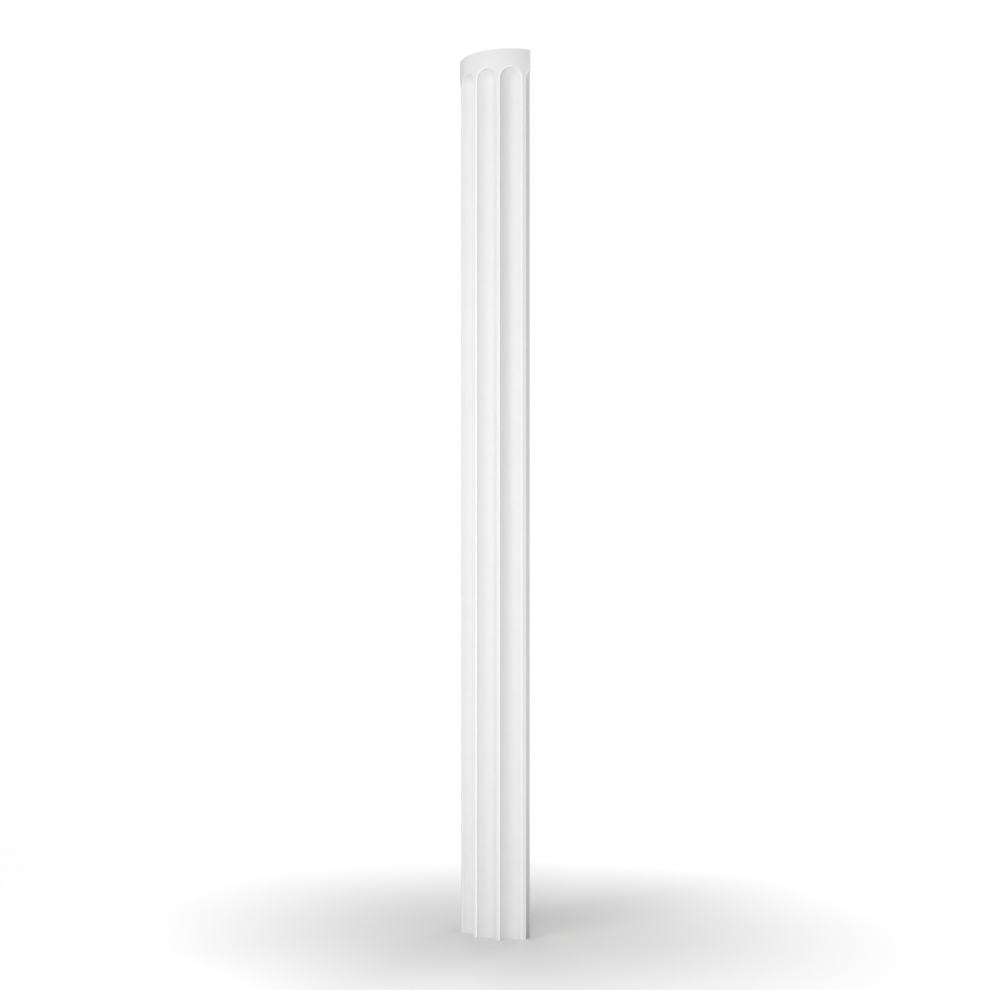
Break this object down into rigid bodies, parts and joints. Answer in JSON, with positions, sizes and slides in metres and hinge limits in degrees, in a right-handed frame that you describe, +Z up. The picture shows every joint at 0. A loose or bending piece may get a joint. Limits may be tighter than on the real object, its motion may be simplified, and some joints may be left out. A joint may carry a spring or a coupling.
{
  "type": "engaged half column",
  "caption": "Fluted engaged column shaft with a plain neck band and a flat back, moulded in one piece to stand against a wall.",
  "frame": {"origin": "on the shaft's axis, at its flat underside", "axes": "+Z up along the shaft's axis, +Y out of the flat back towards the wall, -Y towards the room"},
  "size_m": [0.229, 0.1585, 2.02],
  "materials": {
    "white_primer": "matt white primer over a dense moulded skin of rigid foam"
  },
  "bodies": {
    "root": {"column_shaft": "white_primer"}
  },
  "joints": []
}
